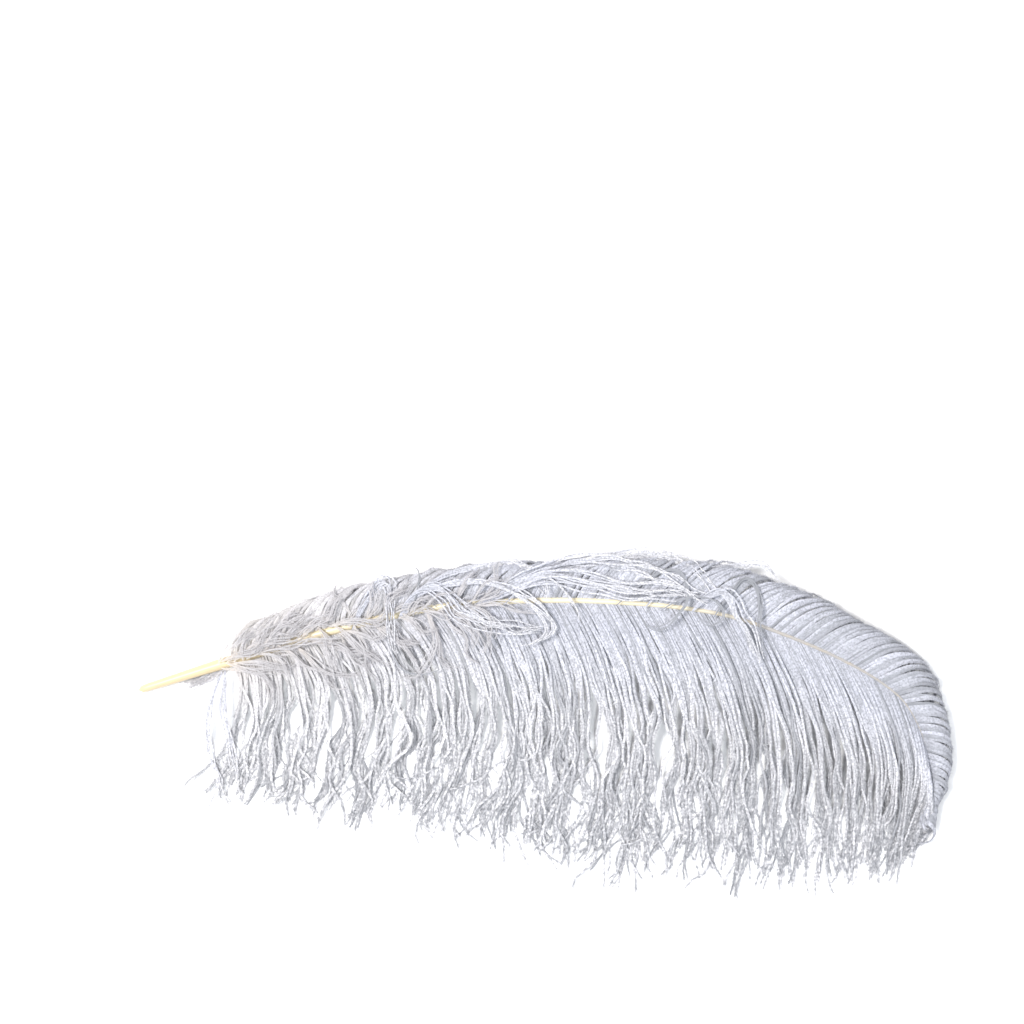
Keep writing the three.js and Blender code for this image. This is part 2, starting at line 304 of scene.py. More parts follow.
class Plumage:
    """Collects barbs and makes one mesh of them. Fade is how far they turn to tip colour."""

    def __init__(self, name, fade=1.0):
        self.name = name
        self.fade = fade
        self.corners, self.faces, self.along, self.tone, self.warm = [], [], [], [], []
        self.count = 0

    def add(self, corners, faces, along, tone, warm):
        corners[:, 2] = np.maximum(corners[:, 2], LEAST_HEIGHT)
        self.corners.append(corners)
        self.faces.append(faces + self.count)
        self.along.append(along * self.fade)
        self.tone.append(np.broadcast_to(tone, len(corners)))
        self.warm.append(np.full(len(corners), warm))
        self.count += len(corners)

    def stem(self, path, widths, thick, tone, warm):
        """A four-sided stem along a path, closed at both ends."""
        _, side, over = across(path)
        t = np.linspace(0, 1, len(path))
        wide = rows_at(widths, t)[:, None] / 2
        tall = thick / 2 * (1 - STEM_TAPER * t)[:, None]
        rings = [path + side * wide, path + over * tall, path - side * wide, path - over * tall]
        corners = np.stack(rings, axis=1).reshape(-1, 3)
        last = len(path) - 1
        faces = []
        for k in range(STEM_SIDES):
            n = (k + 1) % STEM_SIDES
            low = np.arange(last) * STEM_SIDES
            a, b, c, d = low + k, low + n, low + STEM_SIDES + n, low + STEM_SIDES + k
            faces.append(np.stack([a, c, b], axis=1))
            faces.append(np.stack([a, d, c], axis=1))
        top = last * STEM_SIDES
        faces.append(np.array([[0, 1, 2], [0, 2, 3], [top, top + 2, top + 1],
                               [top, top + 3, top + 2]]))
        self.add(corners, np.vstack(faces), np.repeat(t, STEM_SIDES), tone, warm)

    def barbules(self, path, step, length, width, tone, warm, spread, slants):
        """Two rows of thin closed barbules along a path."""
        ways, side, over = across(path)
        total = np.linalg.norm(np.diff(path, axis=0), axis=1).sum()
        count = max(int(total / step), 4)
        for hand in (-1, 1):
            t = (np.arange(count) + random.uniform(0, 1, count)) / count
            t = 0.02 + 0.97 * t ** BARBULE_CROWDING
            foot, way = rows_at(path, t), unit(rows_at(ways, t))
            beside, above = unit(rows_at(side, t)), unit(rows_at(over, t))
            tilt = random.normal(0.15, spread, count)
            slant = random.uniform(*slants, count)
            leaf = hand * np.cos(tilt)[:, None] * beside + np.sin(tilt)[:, None] * above
            point = np.cos(slant)[:, None] * way + np.sin(slant)[:, None] * leaf
            size = length * rows_at(BARBULE_LENGTHS, t)
            size = size * random.uniform(0.6, 1.25, count)
            back = unit(np.cross(way, point))
            a = foot - way * width / 2
            b = foot + way * width / 2
            c = foot + back * width * BARBULE_RIDGE
            d = foot + point * size[:, None]
            corners = np.stack([a, b, c, d], axis=1).reshape(-1, 3)
            base = np.arange(count)[:, None] * BARBULE_CORNERS
            faces = np.vstack([
                base + np.array([0, 3, 1]), base + np.array([0, 2, 3]),
                base + np.array([1, 3, 2]), base + np.array([0, 1, 2]),
            ])
            mottled = np.clip(tone + random.normal(0, MOTTLE, count), 0, 1)
            self.add(corners, faces, np.repeat(t, BARBULE_CORNERS),
                     np.repeat(mottled, BARBULE_CORNERS), warm)

    def barb(self, path, widths, step, thick=0.6, length=2.4, width=0.5, warm=0.0,
             spread=0.5, tones=(0.4, 1.0), slants=(0.5, 1.0)):
        tone = random.uniform(*tones)
        self.stem(path, widths, thick, tone, warm)
        self.barbules(path, step, length, width, tone, warm, spread, slants)

    def make(self):
        """The mesh of all the barbs, with their place, tone and warmth as attributes."""
        corners = np.vstack(self.corners) * MM
        faces = np.vstack(self.faces).astype(np.int32)
        mesh = bpy.data.meshes.new(self.name)
        mesh.vertices.add(len(corners))
        mesh.vertices.foreach_set("co", corners.ravel())
        mesh.loops.add(faces.size)
        mesh.loops.foreach_set("vertex_index", faces.ravel())
        mesh.polygons.add(len(faces))
        mesh.polygons.foreach_set("loop_start", np.arange(len(faces), dtype=np.int32) * 3)
        mesh.update(calc_edges=True)
        mesh.shade_flat()
        for name, values in (("along", self.along), ("tone", self.tone), ("warm", self.warm)):
            layer = mesh.attributes.new(name, "FLOAT", "POINT")
            layer.data.foreach_set("value", np.concatenate(values).astype(np.float32))
        piece = bpy.data.objects.new(self.name, mesh)
        bpy.context.scene.collection.objects.link(piece)
        print(self.name, "faces", len(faces))
        return piece


# The hanging vane: barbs gather in tufts, and tufts in locks. Neighbouring locks sway
# against each other, so gaps open and close between them.
HANGING_LOCKS = 46
HANGING_TUFTS = 150
HANGING_BARBS = 500
HANGING_UNDER = 110
HANGING_CROSSING = 55
HANGING_WEB = (0.8, 1.4, 1.4, 1.4, 1.4, 1.5, 1.4, 0.8)
HANGING_BARBULE = 3.2
HANGING_SLANTS = (0.3, 0.85)
# Share of the barbs that leave their tuft, where the barbs are neither loose nor tidy
STRAY_SHARE = 0.06
# Barbs underneath: how deep they lie, how wide, how much shorter, and how much darker they are
# painted: painted shade for lying under the others
UNDER_DEPTH = 3.0
UNDER_WEB = (1.5, 3.2, 2.2, 1.2, 0.8, 0.6, 0.5, 0.4)
UNDER_SHORT = 0.12
UNDER_PAINTED_SHADE = 0.75
# Barbs that cross over the others: all are strays, and most grow near the base
CROSSING_DEPTH = -1.5
ALL_STRAY = 10
CROSSING_CROWDING = 1.3
# Painted shade: how much darker a barb is painted for each millimetre that it lies beside its
# tuft's middle, standing in for the shade in the gaps between tufts
TUFT_EDGE_PAINTED_SHADE = 0.75
# How much shorter a lock is at its sides, so that it ends in a point
POINTED = 0.12
# Length of the waves in which neighbouring locks sway against each other
LOCK_WAVE = 72
# Where the hanging barbs part and leave an opening: the share of the shaft, half the
# width, and the shares of the barbs' length where it starts and ends
PARTINGS = (
    (0.06, 4.0, 0.42, 0.6), (0.096, 4.0, 0.35, 0.6), (0.166, 6.0, 0.5, 1.2),
    (0.398, 5.0, 0.28, 0.75), (0.476, 3.5, 0.42, 0.62), (0.488, 4.2, 0.15, 0.34),
    (0.524, 3.5, 0.22, 0.56), (0.61, 3.0, 0.36, 0.5),
)
# How far beside an opening, as a share of the shaft, barbs are pushed aside, and over what
# share of their length it starts and ends
PARTING_REACH = 0.018
PARTING_SOFT = 0.08


def messy(share):
    """How loose the barbs are: most at the base, least near the tip."""
    return 1.5 - 1.15 * smooth(share, 0.4, 0.88)


def parted(path, share):
    """A path pushed aside by the openings near it."""
    t = np.linspace(0, 1, len(path))
    path = path.copy()
    for place, half, start, end in PARTINGS:
        off = (share - place) / PARTING_REACH
        push = half * math.copysign(math.exp(-abs(off)), off)
        opened = smooth(t, start - PARTING_SOFT, start + PARTING_SOFT)
        closed = smooth(t, end - PARTING_SOFT, end + PARTING_SOFT)
        path[:, 0] += push * (opened * (1 - closed))
    return path


def lean_to(path, guide, amount, late, full, loosen=0.0):
    """Pulls a path towards a guide, more and more from late to full, then lets go a little."""
    t = np.linspace(0, 1, len(path))
    pull = amount * smooth(t, late, full) * (1 - loosen * smooth(t, 0.7, 1.0))
    return path + (guide - path) * pull[:, None]


def uneven_shares(count, jitter, uneven):
    """Shares from 0 to 1 at uneven steps."""
    shares = (np.arange(count) + uneven.uniform(-jitter, jitter, count)) / (count - 1)
    return np.sort(np.clip(shares, 0, 1))


def nearest(shares, share):
    """Which of the shares is nearest to one."""
    return int(np.argmin(np.abs(shares - share)))


def hanging_tufts():
    """Guide paths of the tufts of the hanging vane, with their shares of the shaft."""
    uneven = np.random.default_rng(HANGING_SEED)
    lock_shares = uneven_shares(HANGING_LOCKS, 0.35, uneven)
    locks, splits, pulls = [], [], []
    for share in lock_shares:
        path = hanging_path(share, 1 + uneven.uniform(-0.1, 0.16), uneven.uniform(-6, 5))
        size = uneven.uniform(1.5, 3.5) * messy(share)
        path = waved(path, size, uneven.uniform(50, 110), uneven.uniform(0, FULL_TURN))
        against = math.pi * len(locks) + uneven.normal(0, 0.5)
        locks.append(waved(path, uneven.uniform(2.5, 5.5) * messy(share), LOCK_WAVE, against))
        splits.append(uneven.uniform(0.08, 0.45))
        pulls.append(uneven.uniform(0.2, 0.75) * (1 - 0.7 * smooth(share, 0.75, 0.95)))
    shares = uneven_shares(HANGING_TUFTS, 0.35, uneven)
    tufts = []
    for share in shares:
        lock = nearest(lock_shares, share)
        path = hanging_path(share, 1 + uneven.normal(0.06, 0.07), uneven.uniform(-4, 4))
        path = lean_to(path, locks[lock], pulls[lock] * uneven.uniform(0.7, 1.05), splits[lock],
                       splits[lock] + 0.35, 0.3)
        path = lean_to(path, locks[lock], uneven.uniform(0.45, 0.95), 0.6, 1.0)
        outer = min(abs(share - lock_shares[lock]) * HANGING_LOCKS * 2, 1.5)
        path = rows_at(path, PARAMETER * (1 - POINTED * outer))
        path = waved(path, uneven.uniform(0.8, 3.2) * messy(share), uneven.uniform(30, 80),
                     uneven.uniform(0, FULL_TURN))
        path[:, 2] += uneven.normal(0, 1.8) * np.sin(np.pi * PARAMETER)
        tufts.append(parted(path, share))
    return shares, tufts


def hanging_barb(share, depth, shares, tufts, stray_share=STRAY_SHARE):
    """One barb's path, its own near the shaft and its tuft's further out, and how light
    it is: lightest along the middle of its tuft, with painted shade towards its sides."""
    loose = messy(share)
    path = hanging_path(share, 1 + random.normal(0.05, 0.04), random.uniform(-4, 3))
    tuft = tufts[nearest(shares, share + random.normal(0, 0.004))]
    aside = random.normal(0, 0.7)
    tuft = tuft + np.array([aside, random.normal(0, 0.3), 1.0 - 1.2 * abs(aside)])
    stray = random.uniform() < stray_share * loose
    amount = random.uniform(0.0, 0.4) if stray else random.uniform(0.7, 1.0)
    late = random.uniform(0.0, 0.08)
    path = lean_to(path, tuft, amount, late, late + random.uniform(0.15, 0.45), 0.3)
    if stray:
        path = waved(path, random.uniform(1, 4) * loose, random.uniform(40, 80),
                     random.uniform(0, FULL_TURN))
        path = curled(path, random.normal(0, 0.4) * loose, random.uniform(0.1, 0.5))
    path = rows_at(path, PARAMETER * (random.uniform(0.88, 1.0) - UNDER_SHORT * (depth > 0)))
    path = waved(path, random.uniform(0.4, 1.2) * loose, random.uniform(20, 46),
                 random.uniform(0, FULL_TURN))
    path = curled(path, random.normal(0, 0.22) * loose, random.uniform(0.3, 0.8))
    path[:, 2] += random.normal(0, 0.9) * np.sin(np.pi * PARAMETER)
    path[:, 2] -= depth * smooth(PARAMETER, 0, 0.12)
    # Painted shade: darker towards the tuft's sides, which lie in the shade of the gaps; the
    # random part is the barb's own tone
    tone_with_painted_shade = 1.15 - TUFT_EDGE_PAINTED_SHADE * abs(aside) + random.normal(0, 0.2)
    return above_surface(path, BARB_HEIGHT), min(max(tone_with_painted_shade, 0.0), 1.0)


def quarter(pieces, share):
    """Which of the four pieces a barb belongs to."""
    return pieces[min(int(share * 4), 3)]


def hanging_vane():
    """The hanging barbs, in four pieces from the base to the tip."""
    names = ("base", "inner", "outer", "tip")
    pieces = [Plumage("barbs_hanging_" + name) for name in names]
    shares, tufts = hanging_tufts()
    for share in uneven_shares(HANGING_UNDER, 0.3, random):
        barb, tone = hanging_barb(share, UNDER_DEPTH, shares, tufts)
        # Painted shade: the barbs underneath are painted darker, as they lie in the shade of
        # those above
        tone = tone * UNDER_PAINTED_SHADE
        quarter(pieces, share).barb(barb, UNDER_WEB, step=2.2, width=0.6,
                                    warm=base_warmth(share), tones=(tone, tone))
    for share in uneven_shares(HANGING_BARBS, 0.45, random):
        barb, tone = hanging_barb(share, 0.0, shares, tufts)
        quarter(pieces, share).barb(barb, HANGING_WEB, step=1.35, length=HANGING_BARBULE,
                                    width=0.6, warm=base_warmth(share), tones=(tone, tone),
                                    slants=HANGING_SLANTS)
    for share in uneven_shares(HANGING_CROSSING, 0.45, random) ** CROSSING_CROWDING:
        barb, tone = hanging_barb(share, CROSSING_DEPTH, shares, tufts, ALL_STRAY)
        quarter(pieces, share).barb(barb, HANGING_WEB, step=1.6, length=HANGING_BARBULE,
                                    width=0.6, warm=base_warmth(share), tones=(tone, 1),
                                    slants=HANGING_SLANTS)
    return [piece.make() for piece in pieces]


def base_warmth(share):
    """How much the cream of the quill shows in the barbs near the base."""
    return float(np.clip(0.6 - share * 1.9, 0, 1))


# The rolled vane: a comb of tufts that curl over the edge and fold back underneath
ROLLED_LOCKS = 20
ROLLED_TUFTS = 124
ROLLED_BARBS = 276
ROLLED_FADE = 0.25
ROLLED_WEB = (1.7, 1.9, 1.9, 1.8, 1.5, 1.2, 0.9, 0.6)
# Below one, the rolled barbs stand closer together towards the tip, where they fan out
ROLLED_CROWDING = 0.85
# How much duller the rolled barbs are near the tip
TIP_GLOOM = 0.18


def rolled_tufts():
    """Guide paths of the tufts of the rolled vane, with their shares of the shaft."""
    uneven = np.random.default_rng(ROLLED_SEED)
    lock_shares = uneven_shares(ROLLED_LOCKS, 0.3, uneven)
    locks = []
    for share in lock_shares:
        path = rolled_path(share, 1 + uneven.uniform(-0.06, 0.04), uneven.uniform(22, 38))
        locks.append(waved(path, 2 * messy(share), uneven.uniform(50, 90),
                           uneven.uniform(0, FULL_TURN)))
    shares = uneven_shares(ROLLED_TUFTS, 0.3, uneven)
    tufts = []
    for share in shares:
        path = rolled_path(share, 1 + uneven.normal(0, 0.025), uneven.uniform(20, 36))
        amount = uneven.uniform(0.2, 0.8) * min(messy(share) - 0.35, 1)
        path = lean_to(path, locks[nearest(lock_shares, share)], amount, 0.15, 0.7)
        path[:, 2] += uneven.normal(0, 0.8) * np.sin(np.pi * np.linspace(0, 1, ROLLED_POINTS))
        tufts.append(path)
    return shares, tufts


def rolled_barb(share, shares, tufts):
    """One rolled barb's path and how light it is: lightest along the middle of its tuft, with
    painted shade towards its sides.
    """
    loose = messy(share) - 0.3
    path = rolled_path(share, 1 + random.normal(0, 0.02), random.uniform(14, 34))
    aside = random.normal(0, 0.6)
    tuft = tufts[nearest(shares, share)] + np.array([aside, 0, 0.8 - abs(aside)])
    path = lean_to(path, tuft, random.uniform(0.5, 0.9), 0.05, 0.4, 0.4)
    path = rows_at(path, np.linspace(0, 1, 20) * random.uniform(0.8, 1.0))
    path = waved(path, random.uniform(0.15, 1.3) * loose, random.uniform(14, 40),
                 random.uniform(0, FULL_TURN))
    if random.uniform() < 0.25 * loose:
        path = curled(path, random.normal(0, 0.8), random.uniform(0.2, 0.5))
    # Painted shade: darker towards the tuft's sides, which lie in the shade of the gaps; the
    # random part is the barb's own tone
    tone_with_painted_shade = 1.1 - TUFT_EDGE_PAINTED_SHADE * abs(aside) + random.normal(0, 0.12)
    tone_with_painted_shade -= TIP_GLOOM * smooth(share, 0.55, 0.75)
    return above_surface(path, BARB_HEIGHT), min(max(tone_with_painted_shade, 0.0), 1.0)


def rolled_vane():
    """The rolled barbs, in two pieces."""
    pieces = [Plumage("barbs_rolled_" + name, ROLLED_FADE) for name in ("base", "tip")]
    shares, tufts = rolled_tufts()
    for share in uneven_shares(ROLLED_BARBS, 0.3, random) ** ROLLED_CROWDING:
        barb, tone = rolled_barb(share, shares, tufts)
        pieces[int(share > 0.5)].barb(barb, ROLLED_WEB, step=1.2, warm=base_warmth(share),
                                      tones=(tone, tone))
    return [piece.make() for piece in pieces]


# Down at the base, which hides the stout part of the shaft: some lies along the shaft,
# some rises over the rolled side and some falls over the hanging side
DOWN_LOCKS = 68
DOWN_LOCK_BARBS = 5
DOWN_WEB = (0.4, 0.6, 0.5, 0.3)
DOWN_POINTS = 16
# Shares of the shaft where the down starts and how far it goes
DOWN_START = -0.015
DOWN_REACH = 0.33
DOWN_WARMTH = 0.2
# For locks along the shaft, over the rolled side and over the hanging side: how many of
# them, how long, and how far they bend forward and aside
DOWN_KINDS = (0.6, 0.2, 0.2)
DOWN_LENGTHS = ((22, 52), (16, 32), (22, 50))
DOWN_BENDS = ((0, -0.3), (0.4, -0.1), (0.1, -0.35))
# Angle of the sine that makes a lock rise and come down again
ARCH = 2.6


def fanned(path, spread):
    """One barb of a lock: the lock's way, spread out sideways and a little shortened."""
    t = np.linspace(0, 1, len(path))
    fan = random.normal(0, spread, 3) * np.array([1, 1, 0.3])
    path = path + np.outer(np.sin(ARCH * t) ** 0.8, fan)
    path = rows_at(path, t * random.uniform(0.8, 1))
    path = waved(path, random.uniform(0.2, 0.5 + 0.5 * spread), random.uniform(18, 60),
                 random.uniform(0, FULL_TURN))
    return above_surface(path, DOWN_HEIGHT)


def down_lock(share):
    """The middle of a lock of down that grows at a share of the shaft."""
    along = station(share)
    root, forward = rows_at(shaft_points, along), rows_at(shaft_ways, along)
    out = np.cross(UP, forward)
    kind = random.choice(len(DOWN_KINDS), p=DOWN_KINDS)
    turn = (random.normal(0, 0.5), random.uniform(0.3, 1.5), random.uniform(-1.7, -0.5))[kind]
    length = random.uniform(*DOWN_LENGTHS[kind]) * (1.1 - share)
    ahead, aside = DOWN_BENDS[kind]
    way = math.cos(turn) * forward + math.sin(turn) * out
    t = np.linspace(0, 1, DOWN_POINTS)
    bend = forward * ahead + out * aside
    path = root + out * random.normal(0, 1.6) + np.outer(t, way) * length
    path = path + np.outer(t**2.2, bend) * length
    path[:, 2] = vane_height(path) + random.uniform(0.5, 5) * np.sin(t * ARCH) + 1
    path = waved(path, random.uniform(1, 3), random.uniform(20, 50),
                 random.uniform(0, FULL_TURN))
    return curled(path, random.normal(0, 1.1), random.uniform(0.1, 0.7))


def down():
    """The down and the tuft under the quill, in one piece."""
    plumage = Plumage("down")
    for share in uneven_shares(DOWN_LOCKS, 0.4, random) ** 1.2 * DOWN_REACH + DOWN_START:
        lock, spread = down_lock(share), random.uniform(0.8, 2.2)
        for _ in range(DOWN_LOCK_BARBS):
            plumage.barb(fanned(lock, spread), DOWN_WEB, thick=0.3, step=1.15, length=3.0,
                         width=0.34, warm=base_warmth(share) + DOWN_WARMTH, spread=1.0,
                         slants=(0.2, 0.7))
    for _ in range(TUFT_BARBS):
        plumage.barb(tuft_barb(), DOWN_WEB, thick=0.35, step=0.8, length=2.6, width=0.36,
                     warm=0.5, spread=0.8)
    return plumage.make()


# The small downy tuft that points back under the quill
TUFT_BARBS = 12
TUFT_POINTS = 12
TUFT_END = np.array([-216, 21, 1])


def tuft_barb():
    """One barb of the tuft under the quill."""
    root = rows_at(shaft_points, vane_start * 1.08)
    end = TUFT_END - PLAN_MIDDLE + random.normal(0, 1, 3) * np.array([3, 2.5, 0.3])
    middle = (root + end) / 2 + random.normal(0, 1.2, 3)
    path = spline([root, middle, end], TUFT_POINTS)
    path = waved(path, 1.0, random.uniform(12, 24), random.uniform(0, FULL_TURN))
    return above_surface(path, DOWN_HEIGHT)


# Stray locks that leave the shaft, lie along it and curl back over it: the number of
# barbs in each, how far they spread, how light they are, and the way of their middle.
# A tone below zero is as dark as one of zero, all along the barb.
LIGHT = (0.75, 1.0)
GREY = (-0.4, -0.1)
STRAY_LOCKS = (
    (14, 2.6, LIGHT, ((-44, 72), (-26, 84), (-2, 94), (33, 101), (61, 103), (77, 100), (89, 91),
                      (98, 79))),
    (11, 2.4, LIGHT, ((-39, 73), (-20, 83), (1, 91), (28, 87), (49, 83), (71, 82), (89, 80))),
    (11, 2.6, LIGHT, ((-41, 72), (-23, 84), (-2, 92), (28, 97), (55, 94), (77, 86), (93, 77))),
    (3, 0.6, GREY, ((41, 74), (57, 88), (70, 95), (78, 94), (82, 85), (81, 76), (77, 70),
                    (72, 64), (65, 61), (58, 63), (52, 70), (48, 76))),
    (2, 0.4, GREY, ((67, 71), (77, 77), (88, 79), (97, 77), (102, 73), (103, 67), (100, 64),
                    (95, 62), (90, 64), (89, 70))),
    (4, 0.9, GREY, ((98, 67), (107, 80), (117, 89), (122, 86), (125, 75), (125, 64), (125, 53),
                    (127, 43))),
    (9, 1.9, LIGHT, ((85, 70), (95, 80), (104, 83), (109, 77), (112, 69), (118, 62), (122, 51),
                     (125, 40))),
    (4, 0.8, LIGHT, ((58, 73), (70, 86), (83, 96), (94, 95), (113, 97), (131, 98), (137, 91),
                     (149, 77))),
    (8, 1.8, LIGHT, ((-85, 66), (-75, 80), (-62, 89), (-38, 95), (-17, 98), (-5, 92), (1, 84),
                     (2, 77))),
    (8, 1.6, LIGHT, ((-87, 65), (-77, 79), (-62, 86), (-32, 88), (-14, 81), (-4, 74), (3, 66),
                     (4, 59), (-2, 55), (-11, 52), (-19, 56))),
    (11, 2.6, LIGHT, ((-88, 65), (-80, 79), (-68, 86), (-58, 80), (-50, 71), (-40, 67),
                      (-29, 64), (-14, 61), (2, 62))),
    (1, 0.3, GREY, ((-83, 67), (-77, 80), (-76, 91), (-79, 96), (-83, 89), (-88, 74))),
    (3, 0.6, LIGHT, ((-26, 73), (-13, 86), (-2, 91), (8, 85), (13, 79), (17, 71), (18, 64))),
    (8, 1.8, LIGHT, ((-116, 58), (-109, 75), (-99, 88), (-94, 86), (-93, 76), (-93, 65),
                     (-91, 50), (-89, 34))),
    (1, 0.3, GREY, ((-98, 62), (-93, 47), (-86, 34), (-73, 32), (-60, 37))),
    (5, 1.2, LIGHT, ((-196, 32), (-203, 12), (-205, -15), (-199, -35), (-205, -52))),
    (5, 1.2, LIGHT, ((-194, 33), (-194, 4), (-190, -20), (-187, -40))),
)
STRAY_FADE = 0.4
STRAY_WEB = (0.6, 1.0, 1.0, 0.8, 0.4)
GREY_WEB = (0.5, 0.8, 0.8, 0.7, 0.4)
STRAY_BARBULE = 2.2
GREY_BARBULE = 0.6
STRAY_POINTS = 30
STRAY_RISE = 5


def stray_lock(rows):
    """The middle of a stray lock, a little above the vane."""
    path = spline(rows, STRAY_POINTS)
    t = np.linspace(0, 1, STRAY_POINTS)
    path[:, 2] = vane_height(path) + STRAY_RISE * smooth(t, 0, 0.3)
    return path


def strays():
    """The stray locks, in one piece."""
    plumage = Plumage("barbs_stray", STRAY_FADE)
    for count, spread, tones, rows in STRAY_LOCKS:
        lock = stray_lock(rows)
        web = GREY_WEB if tones == GREY else STRAY_WEB
        length = GREY_BARBULE if tones == GREY else STRAY_BARBULE
        for _ in range(count):
            plumage.barb(fanned(lock, spread), web, thick=0.4, step=1.5, length=length,
                         width=0.45, tones=tones, slants=(0.15, 0.6))
    return plumage.make()


# The shaft: a curve drawn along its line, given its thickness and made a mesh. Its points,
# and how round it is.
SHAFT_POINTS = 90
SHAFT_ROUND = 5
# Above one, the shaft's points stand closer together at the quill
SHAFT_CROWDING = 1.15
# Length over which the blunt end of the quill rounds off, and the share it starts from
QUILL_END = 2.5
QUILL_BLUNT = 0.12


def shaft():
    """The quill and the rachis, in one piece."""
    bpy.ops.object.select_all(action="DESELECT")
    bpy.ops.curve.primitive_bezier_curve_add(location=(0, 0, 0))
    drawn = bpy.context.object
    drawn.name = "shaft"
    bpy.ops.object.mode_set(mode="EDIT")
    bpy.ops.curve.select_all(action="SELECT")
    bpy.ops.curve.spline_type_set(type="POLY")
    bpy.ops.curve.select_all(action="SELECT")
    while len(drawn.data.splines[0].points) < SHAFT_POINTS:
        bpy.ops.curve.subdivide(number_cuts=1)
    bpy.ops.object.mode_set(mode="OBJECT")
    points = drawn.data.splines[0].points
    t = np.linspace(0, 1, len(points)) ** SHAFT_CROWDING
    line = rows_at(shaft_points, t) * MM
    blunt = np.sqrt(np.clip(t * shaft_length / QUILL_END, QUILL_BLUNT, 1))
    radii = shaft_radius(t) * blunt
    for point, place, radius in zip(points, line, radii):
        point.co = (*place, 1)
        point.radius = radius
    drawn.data.dimensions = "3D"
    drawn.data.bevel_depth = MM
    drawn.data.bevel_resolution = SHAFT_ROUND
    drawn.data.use_fill_caps = True
    bpy.ops.object.convert(target="MESH")
    piece = bpy.context.object
    bpy.ops.object.mode_set(mode="EDIT")
    bpy.ops.mesh.select_all(action="SELECT")
    bpy.ops.mesh.remove_doubles(threshold=1e-6)
    bpy.ops.mesh.normals_make_consistent(inside=False)
    bpy.ops.object.mode_set(mode="OBJECT")
    bpy.ops.object.shade_smooth()
    print("shaft faces", len(piece.data.polygons))
    return piece


# Materials
BARB_WHITE = (0.70, 0.71, 0.785, 1)
BARB_TIP = (0.96, 0.95, 0.97, 1)
BARB_SHADE = (0.34, 0.35, 0.38, 1)
BARB_CREAM = (0.89, 0.83, 0.76, 1)
DOWN_WHITE = (0.79, 0.78, 0.80, 1)
DOWN_SHADE = (0.71, 0.70, 0.72, 1)
HORN_QUILL = (0.68, 0.56, 0.35, 1)
HORN_CREAM = (0.78, 0.70, 0.50, 1)
HORN_PALE = (0.42, 0.40, 0.38, 1)
HORN_DEEP = (0.60, 0.48, 0.30, 1)
BARB_ROUGHNESS = 0.7
HORN_ROUGHNESS = 0.35
# How much light comes through
BARB_THROUGH = 0.18
DOWN_THROUGH = 0.4
# Painted shadow: fine flecks of shade between the barbules on all of a barb, and darker tangles
# of shade in the mesh of fibres at its end: the scale of the noise, and the
#  noise that gives the least and the most lightness, with both lightnesses
SPECKLE_SHADOW_SCALE = 800
SPECKLE_SHADOW = (0.38, 0.56, 0.35, 1.0)
TANGLE_SHADOW_SCALE = 480
TANGLE_SHADOW = (0.38, 0.58, 0.3, 1.0)
# Shares of a barb between which the painted tangle shadows set in, and it turns to its tip's
# colour
TANGLE_SHADOW_PART = (0.3, 0.85)
TIP_PART = (0.1, 0.42)
# Share of a barb over which the cream fades, and what is left of it there
CREAM_PART = 0.45
CREAM_LEFT = 0.1
# Places along the feather, in metres, between which the horn changes its colour
QUILL_TO_CREAM = (-0.2, -0.08)
CREAM_TO_PALE = (0.06, 0.13)
# Lengthwise lines in the horn: the scale of their noise, and the noise that gives none and
# the most of them, with both amounts
LINE_STRETCH = (60, 900, 900)
LINES = (0.5, 0.8, 0, 0.55)


def node(tree, kind, **values):
    made = tree.nodes.new(kind)
    for name, value in values.items():
        setattr(made, name, value)
    return made


def ramp(tree, source, low, high, start, end):
    """A value carried from one range to another, held at the ends."""
    made = node(tree, "ShaderNodeMapRange")
    made.inputs["From Min"].default_value = low
    made.inputs["From Max"].default_value = high
    made.inputs["To Min"].default_value = start
    made.inputs["To Max"].default_value = end
    tree.links.new(source, made.inputs["Value"])
    return made.outputs["Result"]


def product(tree, first, second):
    made = node(tree, "ShaderNodeMath", operation="MULTIPLY")
    tree.links.new(first, made.inputs[0])
    tree.links.new(second, made.inputs[1])
    return made.outputs[0]


def blend(tree, factor, first, second):
    made = node(tree, "ShaderNodeMix", data_type="RGBA")
    for source, socket in ((factor, "Factor"), (first, "A"), (second, "B")):
        if isinstance(source, tuple):
            made.inputs[socket].default_value = source
        else:
            tree.links.new(source, made.inputs[socket])
    return made.outputs["Result"]


